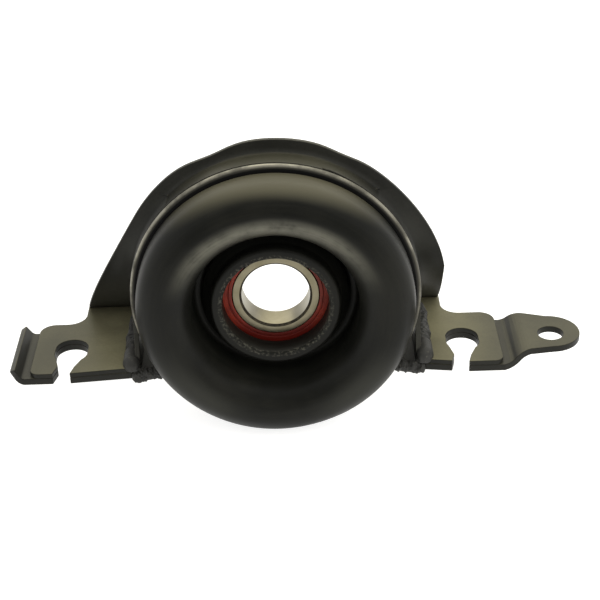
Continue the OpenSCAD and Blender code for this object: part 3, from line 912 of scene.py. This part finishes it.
@dataclass
class BallBearing:
    """The sealed bearing's own pieces: inner race, two seals, and what they hide. Sizes in mm."""

    bore_r: float = 15.0
    shoulder_r: float = 19.1
    half_w: float = 6.5
    bore_chamfer: float = 0.95
    pitch_r: float = 21.25
    groove_r: float = 4.8125
    seal_in_r: float = 19.25
    seal_out_r: float = 25.0
    seal_face: float = 6.25
    seal_back: float = 5.5425
    band_w: float = 1.5
    band_slope: float = 0.1
    dip_depth: float = 0.45
    dip_in: float = 0.5
    dip_out: float = 0.75
    crown_w: float = 1.6
    crown_drop: float = 0.12
    ledge_drop: float = 0.05
    segments: int = 224
    balls: int = 11

    def inner_race(self) -> None:
        """Make the inner race: bright faces and bore, with dark scale on the two bore chamfers."""
        c = self.bore_chamfer
        half_groove = math.degrees(math.acos((self.pitch_r - self.shoulder_r) / self.groove_r))
        groove = arc_corners((self.pitch_r, 0), self.groove_r, 180 - half_groove, 180 + half_groove, count=21)
        corners = [(self.bore_r, self.half_w - c, 0.1), (self.bore_r + c, self.half_w, 0.1),
                   (self.shoulder_r, self.half_w, 0.45), *groove, (self.shoulder_r, -self.half_w, 0.45),
                   (self.bore_r + c, -self.half_w, 0.1), (self.bore_r, -self.half_w + c, 0.1)]
        points = revolved(rounded_outline(corners), self.segments)
        middle = (points + np.roll(points, -1, axis=1))[0] / 2
        slant = (middle[:, 0] < (self.bore_r + c) * MM) & (np.abs(middle[:, 1]) > (self.half_w - c) * MM)
        race = grid_object("inner_race_ring", points, sharp_deg=30, slots=slant.astype(int))
        seat(race, Body.INNER_RACE, "bearing_inner_race", GroundSteel(), DarkScale())

    def seal(self, name: str, node: str, facing: int) -> None:
        """Make a seal with a raised band at its lip, a groove and a crowned outer ring.

        Args:
            name: The piece's name.
            node: The node that it replaces.
            facing: -1 for the front seal, 1 for the rear one.
        """
        band, out, face = self.seal_in_r + self.band_w, self.seal_out_r, self.seal_face
        low = face - self.dip_depth
        corners = [(self.seal_in_r, self.seal_back, 0.1), (out, self.seal_back, 0.1), (out, low, 0.1),
                   (out - self.crown_w, face - self.crown_drop, 0.8),
                   (band + self.dip_out, face - self.ledge_drop, 0.2), (band + self.dip_in, low, 0.1),
                   (band + self.band_slope, low, 0.1), (band, face, 0.25), (self.seal_in_r, face, 0.25)]
        turned = [(r, facing * y, rounding) for r, y, rounding in corners]
        points = revolved(rounded_outline(turned), self.segments)
        seat(grid_object(name, points, sharp_deg=40), Body.HOUSING, node, SealRubber())

    def dress_hidden(self, nodes: dict[str, bpy.types.Object]) -> None:
        """Give the outer race, the cage and the balls their finishes."""
        dressed = {"bearing_outer_race": GroundSteel(), "cage_front_half": CageSteel(),
                   "cage_rear_half": CageSteel(), "cage_rivets": CageSteel()}
        dressed |= {f"ball_{i:02d}": LappedSteel() for i in range(1, self.balls + 1)}
        for name, finish in dressed.items():
            nodes[name].data.materials.clear()
            nodes[name].data.materials.append(finish.material())
            LOG.info("%s: dressed in %s", name, type(finish).__name__)

    def build(self, nodes: dict[str, bpy.types.Object]) -> None:
        """Make the race and the seals, and dress the rest."""
        self.inner_race()
        self.seal("front_seal_ring", "front_seal", -1)
        self.seal("rear_seal_ring", "rear_seal", 1)
        self.dress_hidden(nodes)


@dataclass
class PressedBracket:
    """A bracket pressed from sheet, with the small rounding that shearing and painting leave on its edges."""

    node: str
    name: str
    edge_round: float = 0.38 * MM
    edge_steps: int = 2
    edge_deg: float = 32.0
    flat_deg: float = 0.4
    merge_reach: float = 2e-3 * MM

    def build(self, nodes: dict[str, bpy.types.Object]) -> None:
        """Copy the node's mesh, merge it into clean faces, and round its outer edges with a bevel."""
        mesh = nodes[self.node].data.copy()
        mesh.materials.clear()
        shape = bmesh.new()
        shape.from_mesh(mesh)
        bmesh.ops.remove_doubles(shape, verts=shape.verts, dist=self.merge_reach)
        bmesh.ops.dissolve_limit(shape, angle_limit=math.radians(self.flat_deg), verts=shape.verts,
                                 edges=shape.edges)
        weight = shape.edges.layers.float.new("bevel_weight_edge")
        for edge in shape.edges:
            sheared = edge.is_convex and edge.calc_face_angle(0.0) > math.radians(self.edge_deg)
            edge[weight] = float(sheared)
        shape.to_mesh(mesh)
        shape.free()
        piece = finished_object(self.name, mesh, self.edge_deg)
        bevel = piece.modifiers.new("edge_round", "BEVEL")
        bevel.width = self.edge_round
        bevel.segments = self.edge_steps
        bevel.limit_method = "WEIGHT"
        bevel.use_clamp_overlap = False
        bevel.harden_normals = True
        seat(piece, Body.HOUSING, self.node, BlackCoat())


@dataclass
class WeldBead:
    """A fillet weld in the corner of a leg and its foot: a smooth tongue in front, lumps behind.

    Sizes are in mm. Ends, tongue, notch and rough_reach are shares of the length, and heights are shares of
    the bead's thickness.
    """

    side: Side
    node: str
    corner_x: float = 63.9
    corner_z: float = -32.0
    front: float = -13.6
    rear: float = 34.5
    leg: float = 5.6
    root: float = 2.5
    wrap: float = 0.25
    fullness: float = 0.6
    front_end: float = 0.09
    rear_end: float = 0.14
    tongue: float = 0.27
    rough_reach: float = 0.05
    notch_back: float = 0.02
    notch_w: float = 0.022
    notch_depth: float = 0.34
    ripples: float = 12.0
    ripple_bend: float = 0.22
    ripple_height: float = 0.04
    knot_rate: Span = (9.0, 1.1)
    knot_height: float = 0.20
    crust_rate: Span = (34.0, 3.4)
    crust_height: float = 0.07
    sunk: float = 0.06
    rows: int = 220
    columns: int = 72

    def surface(self) -> np.ndarray:
        """Return the bead's points.

        The bead is a closed tube along the corner. Round the tube the radius is small where it lies in the
        sheets and swells to the leg length over the open quarter. Along it, both ends are round, a notch
        parts the tongue from the rest, and chevron ripples and lumps start behind the notch.
        """
        run, around = tube_grid(self.rows, self.columns)
        open_side = np.clip((np.cos(around) + self.wrap) / (1 + self.wrap), 0, 1) ** self.fullness
        to_end = np.minimum(run / self.front_end, (1 - run) / self.rear_end)
        taper = np.sqrt(np.clip(1 - (1 - np.clip(to_end, 0, 1)) ** 2, 0, 1))
        rough = np.clip((run - self.tongue) / self.rough_reach, 0, 1)
        off_notch = (run - self.tongue - self.notch_back) / self.notch_w
        notch = 1 - self.notch_depth * np.exp(-off_notch ** 2)
        chevron = np.sin(2 * np.pi * (self.ripples * run + self.ripple_bend * np.cos(2 * around)))
        knots = lumps(run * self.knot_rate[0], around * self.knot_rate[1],
                      count=26, pitch=0.55, seed=11 + self.side.value)
        crust = lumps(run * self.crust_rate[0], around * self.crust_rate[1],
                      count=30, pitch=0.7, seed=21 + self.side.value)
        relief = self.ripple_height * chevron + self.knot_height * knots + self.crust_height * crust
        swell = notch * (1 + rough * (relief - self.sunk))
        radius = (self.root + (self.leg - self.root) * open_side * swell) * taper * MM
        angle = around + np.pi / 4
        x = self.side.value * (self.corner_x * MM + radius * np.cos(angle))
        y = (self.front + (self.rear - self.front) * run) * MM
        z = self.corner_z * MM + radius * np.sin(angle)
        points = np.stack([x, y, z], axis=-1)
        return points if self.side is Side.LEFT else points[:, ::-1]

    def build(self) -> None:
        """Make the bead."""
        name = f"weld_{self.side.name.lower()}"
        piece = grid_object(name, self.surface(), sharp_deg=70, closed=False)
        seat(piece, Body.HOUSING, self.node, WeldScale())


@dataclass
class StrapSeam:
    """A rough weld seam along the front edge of the lower plate's neck, where the strap starts.

    Sizes are in mm. The end is a share of the length, and heights are shares of the seam's thickness.
    """

    side: Side
    inner: Place = (50.2, -7.4, -36.9)
    outer: Place = (65.4, -11.8, -36.3)
    half_depth: float = 1.9
    half_height: float = 3.0
    end: float = 0.12
    knot_rate: Span = (5.0, 1.0)
    knot_height: float = 0.24
    crust_rate: Span = (15.0, 2.2)
    crust_height: float = 0.10
    rows: int = 110
    columns: int = 56

    def surface(self) -> np.ndarray:
        """Return the seam's points: an oval tube along a line, with round ends and a crust of lumps."""
        run, around = tube_grid(self.rows, self.columns)
        to_end = np.clip(np.minimum(run, 1 - run) / self.end, 0, 1)
        taper = np.sqrt(1 - (1 - to_end) ** 2)
        knots = lumps(run * self.knot_rate[0], np.sin(around) * self.knot_rate[1],
                      count=24, pitch=0.6, seed=31 + self.side.value)
        crust = lumps(run * self.crust_rate[0], np.sin(around) * self.crust_rate[1],
                      count=30, pitch=0.7, seed=41 + self.side.value)
        swell = taper * (1 + self.knot_height * knots + self.crust_height * crust)
        inner, outer = np.array(self.inner), np.array(self.outer)
        x, y, z = np.moveaxis(inner + run[..., None] * (outer - inner), -1, 0)
        y = y - self.half_depth * swell * np.cos(around)
        z = z + self.half_height * swell * np.sin(around)
        points = np.stack([self.side.value * x, y, z], axis=-1) * MM
        return points if self.side is Side.LEFT else points[:, ::-1]

    def build(self) -> None:
        """Make the seam."""
        name = f"strap_seam_{self.side.name.lower()}"
        piece = grid_object(name, self.surface(), sharp_deg=70, closed=False)
        seat(piece, Body.HOUSING, None, WeldScale())


@dataclass(frozen=True)
class Softbox:
    """A rectangular lamp that faces the part. Lengths in metres.

    A radiance of 1 looks white, and reflections show the lamp only if it is mirrored.
    """

    name: str
    place: Place
    size: Span
    radiance: float
    tint: Colour
    mirrored: bool = True

    def build(self) -> None:
        """Hang the lamp, turned towards the origin."""
        lamp = bpy.data.lights.new(self.name, "AREA")
        lamp.shape = "RECTANGLE"
        lamp.size, lamp.size_y = self.size
        lamp.energy = self.radiance * math.pi * self.size[0] * self.size[1]
        lamp.color = self.tint
        holder = bpy.data.objects.new(self.name, lamp)
        holder.location = self.place
        holder.visible_glossy = self.mirrored
        holder.rotation_euler = (-Vector(self.place)).to_track_quat("-Z", "Y").to_euler()
        bpy.context.scene.collection.objects.link(holder)


@dataclass
class Studio:
    """Camera, lamps, floor and white surround. Lengths in metres."""

    eye: Place = (10.485 * MM, -573.63 * MM, 323.27 * MM)
    tilt_deg: float = 29.89
    roll_deg: float = 1.772
    lens_mm: float = 89.84
    sensor_mm: float = 36.0
    view_depth: float = 50.0
    floor_half: float = 6.0
    floor_white: float = 0.5
    lift: float = 0.79
    surround: float = 0.42
    card_near: float = 0.40
    card_r: float = 1.5
    card_low_deg: float = -2.0
    card_top_deg: float = 62.0
    card_steps: int = 12
    card_grey: float = 0.22
    lamps: tuple[Softbox, ...] = (
        Softbox("overhead", place=(0.08, 0.705, 0.97), size=(1.9, 1.55), radiance=1.5,
                tint=(1.0, 0.955, 0.76)),
        Softbox("front_right", place=(0.75, -0.85, 0.95), size=(1.6, 1.4), radiance=3.4,
                tint=(1.0, 0.98, 0.92), mirrored=False),
        Softbox("front_left", place=(-0.85, -0.75, 0.80), size=(1.0, 1.0), radiance=1.8,
                tint=(1.0, 0.98, 0.92), mirrored=False),
    )

    def camera(self) -> None:
        """Set the camera at the photograph's angle, looking down by its tilt and rolled a little."""
        tilt, roll = math.radians(self.tilt_deg), math.radians(self.roll_deg)
        right = Vector((1, 0, 0))
        up = Vector((0, math.sin(tilt), math.cos(tilt)))
        across = right * math.cos(roll) - up * math.sin(roll)
        upward = right * math.sin(roll) + up * math.cos(roll)
        turn = Matrix((across, upward, across.cross(upward))).transposed()
        lens = bpy.data.cameras.new("camera")
        lens.lens = self.lens_mm
        lens.sensor_width = self.sensor_mm
        lens.clip_end = self.view_depth
        camera = bpy.data.objects.new("camera", lens)
        camera.matrix_world = Matrix.Translation(self.eye) @ turn.to_4x4()
        bpy.context.scene.collection.objects.link(camera)
        bpy.context.scene.camera = camera

    def seen(self, graph: Graph) -> Wire:
        """Return 1 for camera, glossy and transmission rays."""
        path = graph.node("ShaderNodeLightPath").socket.node
        names = ("Is Camera Ray", "Is Glossy Ray", "Is Transmission Ray")
        camera, glossy, through = (Wire(graph, path.outputs[name]) for name in names)
        return (camera + glossy + through).at_most(1.0)

    def stage_object(self, name: str, points: np.ndarray, faces: np.ndarray) -> bpy.types.Object:
        """Return a linked object with those points and faces."""
        mesh = bpy.data.meshes.new(name)
        mesh.from_pydata(points.reshape(-1, 3).tolist(), [], faces.tolist())
        made = bpy.data.objects.new(name, mesh)
        bpy.context.scene.collection.objects.link(made)
        return made

    def floor(self, height: float) -> None:
        """Lay a pale floor that looks white and keeps the part's shadow."""
        side = np.array([-self.floor_half, self.floor_half])
        x, y = np.meshgrid(side, side)
        corners = np.stack([x, y, np.full_like(x, height)], axis=-1)
        plane = self.stage_object("floor", corners, np.array([[0, 1, 3, 2]]))
        plane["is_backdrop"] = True
        made, graph = Graph.in_material("FloorWhite")
        white = (self.floor_white, self.floor_white, self.floor_white, 1.0)
        matt = graph.node("ShaderNodeBsdfDiffuse", inputs={"Color": white})
        glow = graph.node("ShaderNodeEmission", inputs={"Strength": self.seen(graph) * self.lift})
        both = graph.node("ShaderNodeAddShader", inputs={0: matt, 1: glow})
        graph.node("ShaderNodeOutputMaterial", inputs={"Surface": both})
        plane.data.materials.append(made)

    def dark_card(self, floor_height: float) -> None:
        """Stand a dark card before the part, where it shows in reflections alone.

        Its section lies on the floor, then follows a circle round the part from the floor up to card_top_deg.
        """
        rise = np.radians(np.linspace(self.card_low_deg, self.card_top_deg, self.card_steps))
        foot = floor_height + MM
        y = np.concatenate([[-self.card_near], -self.card_r * np.cos(rise)])
        z = np.concatenate([[foot], foot + self.card_r * np.sin(np.maximum(rise, 0))])
        x = np.array([[-self.card_r], [self.card_r]])
        points = np.stack(np.broadcast_arrays(x, y, z), axis=-1)
        index = np.arange(2 * len(y)).reshape(2, -1)
        quads = np.stack([index[0, :-1], index[0, 1:], index[1, 1:], index[1, :-1]], axis=-1)
        card = self.stage_object("dark_card", points, quads)
        card.visible_camera = card.visible_diffuse = card.visible_shadow = card.visible_transmission = False
        card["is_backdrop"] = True
        made, graph = Graph.in_material("CardBlack")
        glow = graph.node("ShaderNodeEmission", inputs={"Color": WHITE, "Strength": self.card_grey})
        graph.node("ShaderNodeOutputMaterial", inputs={"Surface": glow})
        card.data.materials.append(made)

    def world(self) -> None:
        """Set a surround that is white where it is seen and dim where it only lights."""
        made = bpy.data.worlds.new("surround")
        made.use_nodes = True
        bpy.context.scene.world = made
        graph = Graph(made.node_tree)
        strength = self.seen(graph) * (1.0 - self.surround) + self.surround
        glow = graph.node("ShaderNodeBackground", inputs={"Strength": strength, "Color": WHITE})
        graph.node("ShaderNodeOutputWorld", inputs={"Surface": glow})

    def build(self, floor_height: float) -> None:
        """Set up the camera, the lamps, the floor, the dark card and the surround."""
        bpy.context.scene.view_settings.view_transform = "Standard"
        self.camera()
        for lamp in self.lamps:
            lamp.build()
        self.floor(floor_height)
        self.dark_card(floor_height)
        self.world()


def main() -> None:
    logging.basicConfig(level=logging.INFO, format="%(name)s: %(message)s")
    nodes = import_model()["nodes"]
    cad_box = [list(corner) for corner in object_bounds()]
    PressedBracket("upper_bracket", "upper_sheet").build(nodes)
    PressedBracket("lower_bracket", "lower_plate").build(nodes)
    for side in Side:
        WeldBead(side, f"weld_bead_{side.name.lower()}").build()
        StrapSeam(side).build()
    SteelSleeve().build()
    RubberCushion().build()
    BallBearing().build(nodes)
    Studio().build(cad_box[0][2])


if __name__ == "__main__":
    main()
